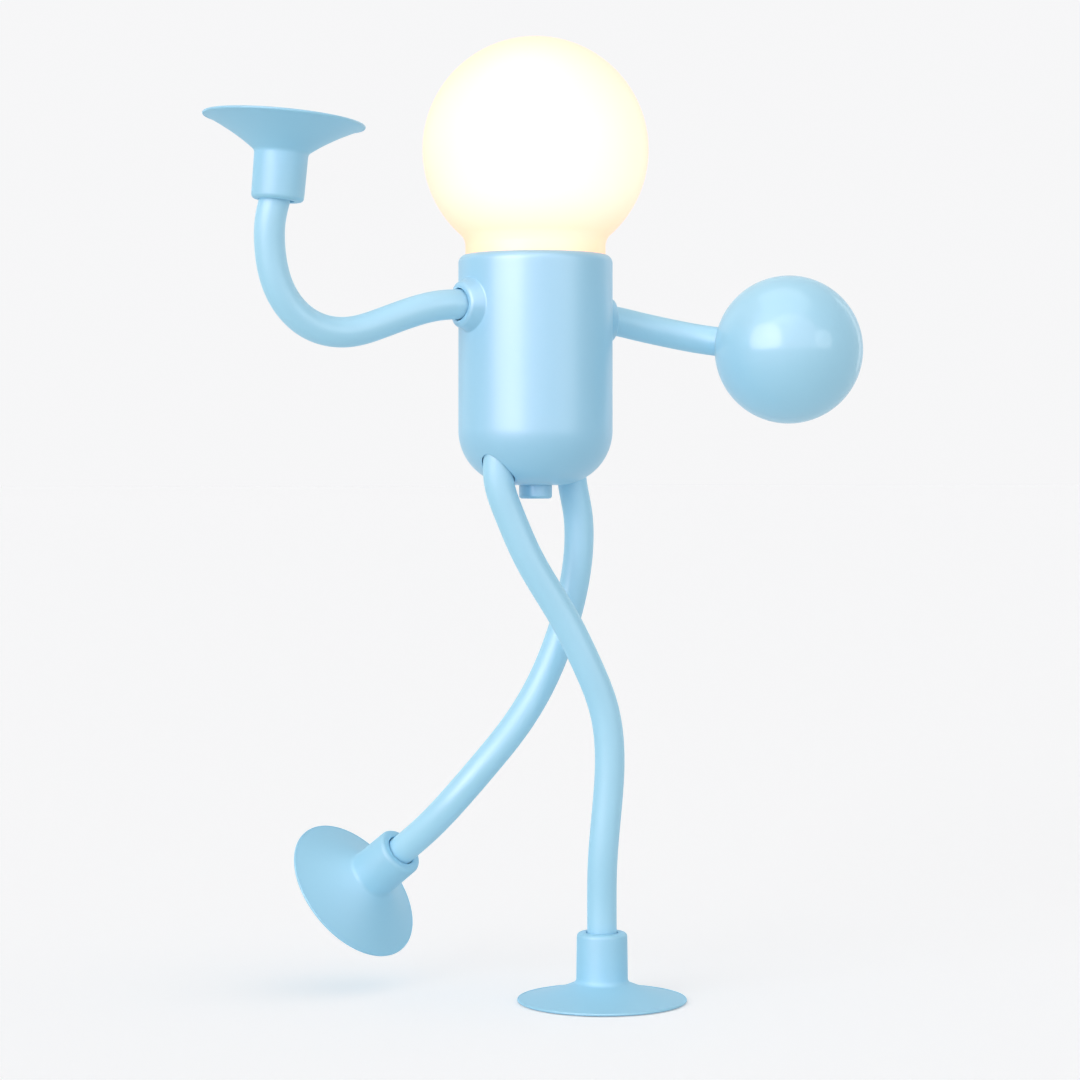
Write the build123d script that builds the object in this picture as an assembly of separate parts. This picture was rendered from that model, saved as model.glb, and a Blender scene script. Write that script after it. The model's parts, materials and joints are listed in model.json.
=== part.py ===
from build123d import *
import math
import os

# A posable figure lamp that stands on one suction cup: a cup-shaped torso with a
# glowing globe for a head, two arms and two legs of bendable tube, one hand that is
# a suction cup, one that is a ball, and two suction-cup feet.
# Millimetres, +Z up. The model is laid out from the torso's own axis, with heights
# from the floor, and every piece is written out from the standing cup's centre.

# Torso
torso_radius = 23.9
torso_bottom = 160.5
torso_height = 71.3
bottom_round = 17.0
rim_round = 2.6
torso_wall = 2.4
rebate_wall = 1.8
rebate_depth = 8.5
torso_top = torso_bottom + torso_height
torso_floor = torso_bottom + torso_wall
torso_inner = torso_radius - torso_wall
rebate_inner = torso_radius - rebate_wall
ledge_height = torso_top - rebate_depth

# Clearances: pieces that only rest or grip, pieces that turn close, pieces that stay clear
seat_gap = 0.1
spigot_clearance = 0.05
running_gap = 0.3

# Bendable tube and its armature
tube_radius = 4.6
wire_radius = 1.5
wire_clearance = 0.3
wire_grip = 4.0
bore_radius = tube_radius + 0.4

# Where a limb plugs into the torso
spigot_radius = 3.45
plug_disc = 1.5
bush_radius = 5.6
bush_length = 4.9
boss_radius = 7.2
clip_radius = 5.2
clip_thickness = 0.8
clip_room = 0.3
spigot_tail = 0.5
shoulder_drop = 16.1
ball_arm_drop = 3.4
shoulder_depth = 3.4
shoulder_boss_base = 7.5
shoulder_boss_face = 6.4
shoulder_boss_length = 6.2
boss_round = 0.8
hip_x = 16.2
hip_y = 5.0
hip_depth = 11.0
shoulder_height = torso_top - shoulder_drop
shoulder_start = torso_radius - shoulder_depth
hip_start = torso_bottom + hip_depth

# Heights on a socket's own axis, from the sleeve's end and negative into the torso
bush_face = -(plug_disc + running_gap)
bush_back = bush_face - bush_length
boss_back = bush_back - running_gap
clip_back = boss_back - clip_thickness
spigot_end = clip_back - spigot_tail

# Head
globe_radius = 35.0
globe_rise = 32.5
globe_wall = 1.8
neck_inset = 2.2
neck_blend = 5.0
neck_insert = 2.0
base_wall = 1.5
base_rise = 6.2
thread_depth = 3.9
thread_clearance = 0.3
ring_height = 6.2
led_board_thickness = 1.6
chip_count = 12
chip_size = 2.8
chip_height = 0.8
chip_ring_radius = 12.5
globe_centre = torso_top + globe_rise
globe_inner = globe_radius - globe_wall
neck_radius = torso_radius - neck_inset
neck_inner = neck_radius - globe_wall
thread_radius = neck_radius - thread_depth
base_top = torso_top + base_rise
ring_top = ledge_height + ring_height
head_floor = ledge_height + running_gap

# Suction cups: as moulded, and pressed flat under the lamp
cup_radius = 24.3
cup_height = 10.2
cup_hollow = 7.2
pressed_radius = 26.4
pressed_height = 6.2
pressed_hollow = 3.3
cup_lip = 0.9
cup_sag = 0.8
cup_fillet = 1.6
cup_wall_inset = 1.1
ceiling_radius = 6.0
collar_radius = 7.85
collar_draft = 0.2
collar_length = 14.2
pressed_collar = 15.2
collar_round = 1.0
collar_hole_depth = 9.1
plug_flange = 1.4
pin_radius = 3.0
pin_length = 4.2

# Ball
ball_radius = 23.3
ball_wall = 3.2
ball_reach = (55.0, -29.1, -9.2)
ball_axis = Vector(-0.69, 0.72, 0.12).normalized()
ball_hole_depth = 8.6
ball_boss_wall = 2.2
ball_mouth = math.sqrt(ball_radius**2 - bore_radius**2)

# Push button in the bottom of the torso, and its switch
button_radius = 5.1
button_drop = 4.2
button_round = 0.8
button_clearance = 0.3
button_flange = 6.2
button_travel = 1.5
stem_radius = 2.0
switch_size = 9.0
switch_height = 4.2
flange_low = torso_floor + seat_gap
flange_high = flange_low + 1.0
switch_low = flange_high + 6.1
stem_top = switch_low + 0.6

# Carrier for the cell, from the shelf over the switch to the cap
cell_radius = 8.25
cell_clearance = 0.15
contact_thickness = 0.9
shelf_thickness = 1.6
cap_thickness = 1.5
chassis_wall = 1.2
shelf_low = switch_low + switch_height
shelf_high = shelf_low + shelf_thickness
cell_low = shelf_high + contact_thickness

# Centre contact above the cap, with room under its collar for the spring round the guide
contact_radius = 1.2
contact_collar = 3.2
contact_collar_drop = 2.2
contact_room = 8.2
guide_radius = 2.3
guide_clearance = 3.2
contact_collar_low = head_floor - contact_collar_drop
cap_high = contact_collar_low - contact_room
cap_low = cap_high - cap_thickness
cell_high = cap_low - contact_thickness
guide_top = contact_collar_low - guide_clearance

# Screws through the socket ring into the carrier's posts
screw_radius = 0.8
screw_head = 1.4
screw_head_height = 1.2
screw_length = 9.0
screw_inset = 0.7
screw_sink = 1.6
post_depth = 3.7
post_clearance = 0.5
screw_reach = rebate_inner - seat_gap - screw_head - screw_inset
screw_seat = ring_top - screw_sink
post_inner = torso_inner - post_depth

# Driver board, the parts on its back (limits across it, heights on it, thickness), and the charging inlet
board_width = 16.0
board_height = 22.0
board_thickness = 1.6
board_rise = 23.5
board_low = torso_bottom + board_rise
board_front = cell_radius + cell_clearance + chassis_wall + 1.6
board_back = board_front + board_thickness
charging_chip = ((-6.0, -2.0), 10.0, 14.0, 1.2)
driver_coil = ((0.0, 5.0), 10.0, 15.0, 2.8)
capacitor = ((-5.0, 4.0), 17.0, 19.0, 1.6)
inlet_width = 9.0
inlet_height = 3.2
inlet_recess = 2.5
inlet_rise = 6.0
inlet_clearance = 0.4
inlet_length = torso_radius - inlet_recess - board_back
inlet_level = board_low + inlet_rise

# Round forms are flat-sided: how far a flat may lie inside its circle, and degrees of bend in a step of tube
facet_depth = 0.23
wire_sides = 6
turn_per_step = 10.0

# The standing cup's centre, seen from the torso's axis: the origin of the written pieces
stand_x = 19.6
stand_y = -7.6
stand = Vector(stand_x, stand_y, 0)


def sides_for(radius):
    """Count of flat sides, a multiple of four, that keeps the flats within the facet depth of a circle."""
    return 4 * math.ceil(math.pi / math.acos(1 - facet_depth / radius) / 4)


def faceted(rings):
    """Solid with flat sides through a row of corner rings. A ring may shrink to a point."""
    outlines = [rings[0], rings[-1]]
    for low, high in zip(rings, rings[1:]):
        for k in range(len(low)):
            outlines.append([low[k - 1], low[k], high[k], high[k - 1]])
    faces = []
    for outline in outlines:
        corners = [c for k, c in enumerate(outline) if (c - outline[k - 1]).length > 1e-6]
        if len(corners) > 2:
            faces.append(Face(Wire.make_polygon(corners)))
    return Solid(Shell(faces))


def turned(edges, sides=None):
    """Flat-sided solid of revolution about Z, from a chain of lines and arcs in (radius, height)."""
    points = []
    for edge in edges:
        count = 1
        if edge.geom_type == GeomType.CIRCLE:
            count = math.ceil(edge.length / edge.radius / (2 * math.acos(1 - facet_depth / edge.radius)) - 0.1)
        points += [edge @ (k / count) for k in range(count)]
    points.append(edges[-1] @ 1)
    sides = sides or sides_for(max(point.X for point in points))
    corners = [Vector(1, 0, 0).rotate(Axis.Z, 360 * k / sides) for k in range(sides)]
    return faceted([[corner * point.X + Vector(0, 0, point.Y) for corner in corners] for point in points])


def lines(*corners):
    """Straight edges from corner to corner, each a (radius, height) pair."""
    return [Edge.make_line(a, b) for a, b in zip(corners, corners[1:])]


def bend(centre, radius, start_angle, end_angle):
    """Arc about a centre in the (radius, height) plane, between two angles in degrees."""
    return arc(*[place(centre, radius, a) for a in (start_angle, (start_angle + end_angle) / 2, end_angle)])


def place(centre, radius, angle):
    turn = math.radians(angle)
    return (centre[0] + radius * math.cos(turn), centre[1] + radius * math.sin(turn))


def arc(start, middle, end):
    return Edge.make_three_point_arc(Vector(*start), Vector(*middle), Vector(*end))


def tube_rings(stations, start_normal, end_normal, radius, sides):
    """Corner rings of a tube, cut on the mitre plane at each station, so that every side stays flat."""
    steps = [(b - a).normalized() for a, b in zip(stations, stations[1:])]
    normals = [start_normal] + [a + b for a, b in zip(steps, steps[1:])] + [end_normal]
    start = Plane(stations[0], z_dir=steps[0])
    ring = [start.from_local_coords(Vector(*place((0, 0), radius, 360 * k / sides))) for k in range(sides)]
    rings = []
    for station, step, normal in zip(stations, steps[:1] + steps, normals):
        ring = [p + step * ((station - p).dot(normal) / step.dot(normal)) for p in ring]
        rings.append(ring)
    return rings


def disc(radius, low, high, sides=None):
    """Round bar about Z, as a prism with its corners on the radius."""
    return Pos(0, 0, low) * extrude(RegularPolygon(radius, sides or sides_for(radius)), high - low)


def hole(radius, low, high):
    """Cutter for a round hole about Z, with its flats on the radius, so that what turns in it stays clear."""
    outline = RegularPolygon(radius, sides_for(radius), major_radius=False)
    return Pos(0, 0, low) * extrude(outline, high - low)


def block(x, y, z):
    """Box between pairs of limits."""
    size = Box(x[1] - x[0], y[1] - y[0], z[1] - z[0], align=(Align.MIN, Align.MIN, Align.MIN))
    return Pos(x[0], y[0], z[0]) * size


globe_sides = sides_for(globe_inner)

# Where each limb leaves the torso: local +Z points out along the limb, with zero at the sleeve's end
sockets = {
    "cup_arm": Plane((-shoulder_start, 0, shoulder_height), z_dir=(-1, 0, 0)),
    "ball_arm": Plane((shoulder_start, 0, shoulder_height - ball_arm_drop), z_dir=(1, 0, 0)),
    "standing_leg": Plane((-hip_x, -hip_y, hip_start), z_dir=(0, 0, -1)),
    "raised_leg": Plane((hip_x, hip_y, hip_start), z_dir=(0, 0, -1)),
}

# From a socket to the rim plane of the cup on that limb
hand_reach = (-62.5, 6.7, 53.7)
raised_foot_reach = (-50.4, 51.8, -141.3)

# Where each end piece sits: the cups' rim planes and the ball's centre, local +Z towards the limb
sleeve_seat = collar_hole_depth - plug_flange - seat_gap
relaxed_length = cup_height + collar_length
pressed_length = pressed_height + pressed_collar
ends = {
    "cup_arm": Plane(sockets["cup_arm"].origin + Vector(*hand_reach), z_dir=Vector(-0.080, 0.026, -0.996)),
    "ball_arm": Plane(sockets["ball_arm"].origin + Vector(*ball_reach), z_dir=ball_axis),
    "standing_leg": Plane(stand, z_dir=(0, 0, 1)),
    "raised_leg": Plane(
        sockets["raised_leg"].origin + Vector(*raised_foot_reach), z_dir=Vector(0.329, -0.732, 0.597)
    ),
}
end_depths = {
    "cup_arm": relaxed_length - sleeve_seat,
    "ball_arm": ball_mouth - ball_hole_depth + plug_flange + seat_gap,
    "standing_leg": pressed_length - sleeve_seat,
    "raised_leg": relaxed_length - sleeve_seat,
}

# Each limb's centre line as it is bent here, measured from its socket. A span of the sleeve ends at its own last
# point, the last span at the end plug. Bending spans and straight-held ones alternate.
bends = {
    "cup_arm": {
        "shoulder_flex": [(-6.5, 0.2, 0.0), (-13.5, 1.2, -0.6), (-21.5, 2.8, -2.7)],
        "upper": [(-31.5, 4.7, -6.4), (-41.5, 6.5, -9.1)],
        "elbow_flex": [(-53.0, 8.4, -7.0), (-62.0, 9.3, 1.8)],
        "fore": [(-66.1, 9.0, 15.8)],
        "wrist_flex": [(-66.3, 8.2, 23.8)],
    },
    "ball_arm": {
        "shoulder_flex": [(6.5, 0.0, 0.0), (16.1, -0.6, -1.5)],
        "fore": [(25.6, -3.4, -3.5)],
        "wrist_flex": [(34.2, -8.2, -5.4)],
    },
    "standing_leg": {
        "hip_flex": [(0.1, 0.0, -9.5), (3.2, -0.8, -19.5), (9.5, -2.6, -33.9)],
        "thigh": [(20.5, -5.4, -52.4), (27.4, -7.2, -66.3)],
        "knee_flex": [(33.1, -8.0, -80.3), (35.3, -7.8, -94.5)],
        "shin": [(35.1, -6.5, -111.5), (34.7, -4.7, -127.5)],
        "ankle_flex": [(35.4, -3.1, -140.5)],
    },
    "raised_leg": {
        "hip_flex": [(0.2, 0.0, -9.5), (2.0, -0.2, -18.9), (2.4, -0.3, -31.5)],
        "thigh": [(1.0, 0.8, -44.1), (-3.2, 2.8, -60.5)],
        "knee_flex": [(-9.5, 4.9, -75.4), (-17.4, 7.1, -87.8)],
        "shin": [(-25.7, 10.2, -98.5), (-33.2, 16.0, -109.5)],
        "ankle_flex": [(-38.0, 24.0, -118.5)],
    },
}

# The standing leg is drawn for a foot this far below its hip, and stretches if the torso sits higher or lower
standing_leg_drop = 157.7


def limb_points(limb):
    """Each span's points in the model's frame, the standing leg's drawn out to meet its foot."""
    root = sockets[limb].origin
    stretch = (hip_start - end_depths[limb]) / standing_leg_drop if limb == "standing_leg" else 1
    return {span: [root + Vector(x, y, z * stretch) for x, y, z in points] for span, points in bends[limb].items()}


def route(limb):
    """Smooth centre line from the root plug's face to the end plug's face."""
    end = ends[limb]
    finish = end.origin + end.z_dir * end_depths[limb]
    points = [sockets[limb].origin] + sum(limb_points(limb).values(), []) + [finish]
    return Spline(*points, tangents=[sockets[limb].z_dir, -end.z_dir])


def limb_stations(limb):
    """Points along the centre line, closer where it bends more, and the place in the list where each span ends."""
    line = route(limb)
    stations = [line @ 0]
    breaks = [0]
    low = 0.0
    last_span = list(bends[limb])[-1]
    for span, points in limb_points(limb).items():
        high = 1.0 if span == last_span else line.param_at_point(points[-1])
        headings = [line % (low + (high - low) * k / 4) for k in range(5)]
        turn = sum(a.get_angle(b) for a, b in zip(headings, headings[1:]))
        count = max(2, math.ceil(turn / turn_per_step))
        stations += [line @ (low + (high - low) * k / count) for k in range(1, count + 1)]
        breaks.append(len(stations) - 1)
        low = high
    return stations, breaks


def limb_rings(limb, radius, sides):
    """Corner rings along the limb at a radius, the same stations for sleeve, bore and wire."""
    stations, breaks = limb_stations(limb)
    return tube_rings(stations, sockets[limb].z_dir, -ends[limb].z_dir, radius, sides), breaks


def limb_sleeves(limb):
    """The silicone sleeve's spans, each with its bore for the wire."""
    outer, breaks = limb_rings(limb, tube_radius, sides_for(tube_radius))
    inner, _ = limb_rings(limb, wire_radius + wire_clearance, wire_sides)
    pieces = {}
    for span, low, high in zip(bends[limb], breaks, breaks[1:]):
        pieces[f"{limb}_{span}"] = faceted(outer[low : high + 1]) - faceted(inner[low : high + 1])
    return pieces


def limb_wire(limb):
    """Soft armature wire through the whole limb, from plug to plug, with its ends in both plugs' holes."""
    rings, _ = limb_rings(limb, wire_radius, wire_sides)
    back = -sockets[limb].z_dir * wire_grip
    ahead = -ends[limb].z_dir * (wire_grip - seat_gap)
    rings = [[p + back for p in rings[0]]] + rings + [[p + ahead for p in rings[-1]]]
    return faceted(rings)


def root_plug(limb):
    """Turned plug that the sleeve's root end sits on, with the spigot that turns in the torso's bush."""
    plug = disc(tube_radius, -plug_disc, 0) + disc(spigot_radius, spigot_end, -plug_disc)
    return sockets[limb].location * (plug - hole(wire_radius + spigot_clearance, -wire_grip, 0))


def root_clip(limb):
    """Snap ring that keeps the spigot in its bush."""
    clip = disc(clip_radius, clip_back, boss_back) - disc(spigot_radius, clip_back, boss_back)
    return sockets[limb].location * clip


def bush(limb):
    """Plain bearing bush pressed into the torso's boss."""
    bore = hole(spigot_radius + spigot_clearance, bush_back, bush_face)
    return sockets[limb].location * (disc(bush_radius, bush_back, bush_face) - bore)


def torso_envelope():
    """The torso's outer form, filled: a wide rounded bottom, straight sides and a small round at the rim."""
    return turned(
        [bend((torso_radius - bottom_round, torso_bottom + bottom_round), bottom_round, -90, 0)]
        + lines((torso_radius, torso_bottom + bottom_round), (torso_radius, torso_top - rim_round))
        + [bend((torso_radius - rim_round, torso_top - rim_round), rim_round, 0, 90)]
    )


def torso_cavity():
    """The hollow inside, with a rebate at the top that makes the ledge for the socket ring."""
    inner_round = bottom_round - torso_wall
    low = torso_floor + inner_round
    return turned(
        [bend((torso_inner - inner_round, low), inner_round, -90, 0)]
        + lines((torso_inner, low), (torso_inner, ledge_height), (rebate_inner, ledge_height))
        + lines((rebate_inner, ledge_height), (rebate_inner, torso_top + 1))
    )


def shoulder_boss():
    """Short cone with a soft rim round an arm's hole, on the socket's own axis."""
    straight = shoulder_depth - 1
    edge = shoulder_boss_face - boss_round
    top = shoulder_boss_length - boss_round
    return turned(
        lines((shoulder_boss_base, 0), (shoulder_boss_base, straight), (shoulder_boss_face, top))
        + [bend((edge, top), boss_round, 0, 90)]
    )


def torso_shell():
    """Moulded shell with two shoulder bosses, two hip holes, a button hole and the charging inlet's slot."""
    envelope = torso_envelope()
    shell = envelope - torso_cavity()
    for limb, socket in sockets.items():
        shell += socket.location * disc(boss_radius, boss_back, shoulder_start) & envelope
        if limb.endswith("arm"):
            shell += socket.location * shoulder_boss()
    for socket in sockets.values():
        shell -= socket.location * hole(bore_radius, bush_face, shoulder_start)
        shell -= socket.location * disc(bush_radius, clip_back - clip_room, bush_face)
    shell -= hole(button_radius + button_clearance, torso_bottom - 1, torso_floor + 1)
    slot = Box(inlet_width + 2 * inlet_clearance, 2 * torso_wall + 2, inlet_height + 2 * inlet_clearance)
    slot = fillet(slot.edges().filter_by(Axis.Y), inlet_height / 2)
    return shell - Pos(0, torso_radius - torso_wall / 2, inlet_level) * slot


def socket_ring():
    """Ring on the torso's ledge that the lamp head screws into, with a counterbored hole on either side."""
    body = disc(rebate_inner - seat_gap, ledge_height, ring_top)
    body -= hole(thread_radius + thread_clearance, ledge_height, ring_top)
    for side in (-1, 1):
        body -= Pos(0, side * screw_reach, 0) * hole(screw_head + seat_gap, screw_seat, ring_top)
        body -= Pos(0, side * screw_reach, 0) * hole(screw_radius, ledge_height, screw_seat)
    return body


def ring_screws():
    """Two screws that clamp the ring, the shell's ledge and the chassis together."""
    screws = []
    for side in (-1, 1):
        shaft = disc(screw_radius, screw_seat - screw_length, screw_seat)
        head = disc(screw_head, screw_seat, screw_seat + screw_head_height)
        screws.append(Pos(0, side * screw_reach, 0) * (shaft + head))
    return Compound(screws)


def chassis():
    """Moulded carrier: a tube round the cell that follows the torso's floor, a shelf, a cap and two posts."""
    inner = cell_radius + cell_clearance
    outer = inner + chassis_wall
    edge = torso_inner - post_clearance
    body = disc(outer, torso_floor, cap_high) & torso_cavity()
    body -= hole(inner, torso_floor, shelf_low) + hole(inner, shelf_high, cap_low)
    body += disc(guide_radius, cap_high, guide_top)
    body -= hole(contact_radius + running_gap, cap_low, guide_top)
    for side in (-1, 1):
        body += block((-3, 3), sorted((side * (inner + 0.7), side * edge)), (cap_low, cap_high))
        body += block((-3, 3), sorted((side * post_inner, side * edge)), (cap_low, ledge_height))
        body -= Pos(0, side * screw_reach, 0) * hole(screw_radius, screw_seat - screw_length, ledge_height)
        body += block((side * 5 - 1.5, side * 5 + 1.5), (inner, board_front), (board_low, board_low + board_height))
    return body


def battery_cell():
    """Short rechargeable cell with its raised positive end."""
    return disc(cell_radius, cell_low, cell_high - 1) + disc(cell_radius / 3, cell_high - 1, cell_high)


def battery_contacts():
    """Plated discs below and above the cell."""
    radius = cell_radius - 1
    return Compound([disc(radius, shelf_high, cell_low), disc(radius, cell_high, cap_low)])


def driver_board():
    """Circuit board upright behind the cell."""
    half = board_width / 2
    return block((-half, half), (board_front, board_back), (board_low, board_low + board_height))


def board_parts():
    """Charging chip, driver coil and capacitor on the back of the board."""
    parts = []
    for across, low, high, depth in (charging_chip, driver_coil, capacitor):
        parts.append(block(across, (board_back, board_back + depth), (board_low + low, board_low + high)))
    return Compound(parts)


def charging_inlet():
    """Charging socket on the board, its mouth in the slot in the torso's back."""
    grounded = (Align.CENTER, Align.MIN, Align.CENTER)
    shell = Box(inlet_width, inlet_length, inlet_height, align=grounded)
    shell = fillet(shell.edges().filter_by(Axis.Y), inlet_height / 2 - 0.1)
    mouth = Box(inlet_width - 0.8, inlet_length, inlet_height - 0.8, align=grounded)
    tongue = Box(inlet_width - 2.8, inlet_length - 2, 0.7, align=grounded)
    shell = shell - Pos(0, 1.5, 0) * mouth + Pos(0, 1, 0) * tongue
    return Pos(0, board_back, inlet_level) * shell


def button_cap():
    """Push button: the round stub below the torso, its flange above the floor and its stem into the switch."""
    low = torso_bottom - button_drop
    stub = turned(
        [bend((button_radius - button_round, low + button_round), button_round, -90, 0)]
        + lines((button_radius, low + button_round), (button_radius, flange_low))
    )
    return stub + disc(button_flange, flange_low, flange_high) + disc(stem_radius, flange_high, stem_top)


def switch_body():
    """Push switch under the shelf, open at its underside for the button's stem."""
    half = switch_size / 2
    body = block((-half, half), (-half, half), (switch_low, shelf_low))
    return body - hole(stem_radius + running_gap, switch_low, stem_top + button_travel + running_gap)


def coil_spring(mean_radius, wire, turns, low, high):
    """Coil spring between two heights, as one tube of four sides along its helix."""
    steps = 7 * turns
    stations = []
    for k in range(steps + 1):
        x, y = place((0, 0), mean_radius, 360 * turns * k / steps)
        stations.append(Vector(x, y, low + wire + (high - low - 2 * wire) * k / steps))
    return faceted(tube_rings(stations, stations[1] - stations[0], stations[-1] - stations[-2], wire, 4))


def button_spring():
    return coil_spring(3.6, 0.3, 4, flange_high + 0.05, switch_low - 0.05)


def contact_spring():
    return coil_spring(2.8, 0.25, 5, cap_high + 0.05, contact_collar_low - 0.05)


def contact_pin():
    """Sprung centre contact that follows the lamp head's base as it is unscrewed."""
    pin = disc(contact_radius, cap_low + running_gap, head_floor)
    return pin + disc(contact_collar, contact_collar_low, contact_collar_low + 0.8)


def diffuser_globe():
    """Milky globe: a thin sphere that runs into a short neck through a small hollow curve."""
    low = torso_top - neck_insert
    centre = (0, globe_centre)
    # The blend is tangent to neck and sphere: its centre lies its own radius outside both
    blend_x = neck_radius + neck_blend
    blend_y = globe_centre - math.sqrt((globe_radius + neck_blend) ** 2 - blend_x**2)
    meet = math.degrees(math.atan2(blend_y - globe_centre, blend_x))
    outside = turned(
        lines((neck_radius, low), (neck_radius, blend_y))
        + [bend((blend_x, blend_y), neck_blend, 180, 180 + meet), bend(centre, globe_radius, meet, 90)]
    )
    inner_drop = math.sqrt(globe_inner**2 - neck_inner**2)
    inner_meet = math.degrees(math.atan2(-inner_drop, neck_inner))
    inside = turned(
        lines((neck_inner, low), (neck_inner, globe_centre - inner_drop))
        + [bend(centre, globe_inner, inner_meet, 90)]
    )
    return outside - inside


def bulb_base():
    """Open base glued into the globe's neck, with the part below that screws into the ring."""
    shoulder = ring_top + running_gap
    body = disc(thread_radius, head_floor, shoulder) + disc(neck_inner, shoulder, base_top, globe_sides)
    return body - disc(thread_radius - base_wall, head_floor + base_wall, base_top)


def led_board():
    return disc(neck_inner - base_wall, base_top, base_top + led_board_thickness)


def led_chips():
    """Ring of surface-mounted chips."""
    low = base_top + led_board_thickness
    half = chip_size / 2
    chip = block((-half, half), (-half, half), (low, low + chip_height))
    return Compound([turn * chip for turn in PolarLocations(chip_ring_radius, chip_count)])


def cup(limb, radius, height, hollow, collar):
    """Suction cup: a thin lip, a hollow cone and a collar with the hole that the limb plugs into."""
    top = height + collar
    hole_floor = top - collar_hole_depth
    collar_root = collar_radius + collar_draft
    root = collar_root + cup_fillet
    sag = ((radius + root) / 2 - cup_sag, (cup_lip + height) / 2 - cup_sag)
    body = turned(
        lines((radius, 0), (radius, cup_lip))
        + [arc((radius, cup_lip), sag, (root, height))]
        + [bend((root, height + cup_fillet), cup_fillet, 270, 180)]
        + lines((collar_root, height + cup_fillet), (collar_radius, top - collar_round))
        + [bend((collar_radius - collar_round, top - collar_round), collar_round, 0, 90)]
    )
    body -= turned(lines((radius - cup_wall_inset, 0), (ceiling_radius, hollow)))
    body -= hole(bore_radius, hole_floor, top)
    body -= disc(pin_radius, hole_floor - pin_length - seat_gap, hole_floor)
    return ends[limb].location * body


def end_plug(limb):
    """Plug in the sleeve's end: a flange under the sleeve and a pin gripped by the collar or the ball."""
    seat = end_depths[limb] - seat_gap
    plug = disc(tube_radius, seat - plug_flange, seat)
    plug += disc(pin_radius, seat - plug_flange - pin_length, seat - plug_flange)
    return ends[limb].location * (plug - hole(wire_radius + spigot_clearance, seat - wire_grip, seat))


def ball_far_half():
    """The half turned away from the arm, a plain bowl."""
    bowl = turned([bend((0, 0), ball_radius, 0, 90)]) - turned([bend((0, 0), ball_radius - ball_wall, 0, 90)])
    return ends["ball_arm"].location * Rot(X=180) * bowl


def ball_near_half():
    """The half that takes the arm: a hole, and a boss inside with the pin's bore."""
    filled = turned([bend((0, 0), ball_radius, 0, 90)])
    floor = ball_mouth - ball_hole_depth
    pin_floor = floor - pin_length - seat_gap
    half = filled - turned([bend((0, 0), ball_radius - ball_wall, 0, 90)])
    half += disc(bore_radius + ball_boss_wall, pin_floor, ball_radius) & filled
    half -= hole(bore_radius, floor, ball_radius)
    half -= disc(pin_radius, pin_floor, floor)
    return ends["ball_arm"].location * half


def bushes(kind):
    return Compound([bush(limb) for limb in sockets if limb.endswith(kind)])


def build():
    """Every piece by its name."""
    pieces = {
        "torso_shell": torso_shell(),
        "socket_ring": socket_ring(),
        "ring_screws": ring_screws(),
        "chassis": chassis(),
        "battery_cell": battery_cell(),
        "battery_contacts": battery_contacts(),
        "driver_board": driver_board(),
        "board_parts": board_parts(),
        "charging_inlet": charging_inlet(),
        "shoulder_bushes": bushes("arm"),
        "hip_bushes": bushes("leg"),
        "button_cap": button_cap(),
        "button_spring": button_spring(),
        "switch_body": switch_body(),
        "contact_pin": contact_pin(),
        "contact_spring": contact_spring(),
        "diffuser_globe": diffuser_globe(),
        "bulb_base": bulb_base(),
        "led_board": led_board(),
        "led_chips": led_chips(),
        "hand_cup": cup("cup_arm", cup_radius, cup_height, cup_hollow, collar_length),
        "raised_foot_cup": cup("raised_leg", cup_radius, cup_height, cup_hollow, collar_length),
        "standing_foot_cup": cup("standing_leg", pressed_radius, pressed_height, pressed_hollow, pressed_collar),
        "ball_near_half": ball_near_half(),
        "ball_far_half": ball_far_half(),
    }
    for limb in sockets:
        pieces.update(limb_sleeves(limb))
        pieces[f"{limb}_wire"] = limb_wire(limb)
        pieces[f"{limb}_root_plug"] = root_plug(limb)
        pieces[f"{limb}_root_clip"] = root_clip(limb)
        pieces[f"{limb}_end_plug"] = end_plug(limb)
    return pieces


os.makedirs("parts", exist_ok=True)
for name, piece in build().items():
    export_step(Pos(-stand) * piece, f"parts/{name}.step")
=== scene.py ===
"""Posable figure lamp: the smooth skins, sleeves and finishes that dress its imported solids.

Shapes are worked out in millimetres about the torso's own axis, with heights from the floor.
metres() moves them to the part's frame, whose origin is the middle of the standing foot.
"""

import json
import math

import bmesh
import bpy
import numpy as np
from mathutils import Matrix

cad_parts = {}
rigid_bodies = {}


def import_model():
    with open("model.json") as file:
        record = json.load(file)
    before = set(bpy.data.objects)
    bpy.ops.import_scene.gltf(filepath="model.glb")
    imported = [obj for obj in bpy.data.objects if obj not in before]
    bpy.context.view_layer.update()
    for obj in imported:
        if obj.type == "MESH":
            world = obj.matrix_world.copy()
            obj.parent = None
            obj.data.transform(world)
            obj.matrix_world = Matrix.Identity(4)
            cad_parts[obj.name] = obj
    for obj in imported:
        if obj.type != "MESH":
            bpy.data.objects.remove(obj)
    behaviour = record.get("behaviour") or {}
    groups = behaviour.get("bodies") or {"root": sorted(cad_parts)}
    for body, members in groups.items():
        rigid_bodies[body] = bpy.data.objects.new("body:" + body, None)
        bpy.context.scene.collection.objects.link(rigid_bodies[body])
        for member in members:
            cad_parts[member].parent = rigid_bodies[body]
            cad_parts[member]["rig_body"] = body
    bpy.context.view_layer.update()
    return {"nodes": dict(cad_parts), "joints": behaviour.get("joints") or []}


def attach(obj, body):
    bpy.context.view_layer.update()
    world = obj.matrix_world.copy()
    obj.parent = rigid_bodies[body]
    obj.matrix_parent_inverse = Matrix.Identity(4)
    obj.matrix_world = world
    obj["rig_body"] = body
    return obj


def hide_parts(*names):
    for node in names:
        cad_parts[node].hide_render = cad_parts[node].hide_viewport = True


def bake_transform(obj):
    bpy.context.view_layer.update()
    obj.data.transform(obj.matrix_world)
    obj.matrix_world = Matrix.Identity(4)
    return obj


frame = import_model()
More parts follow.
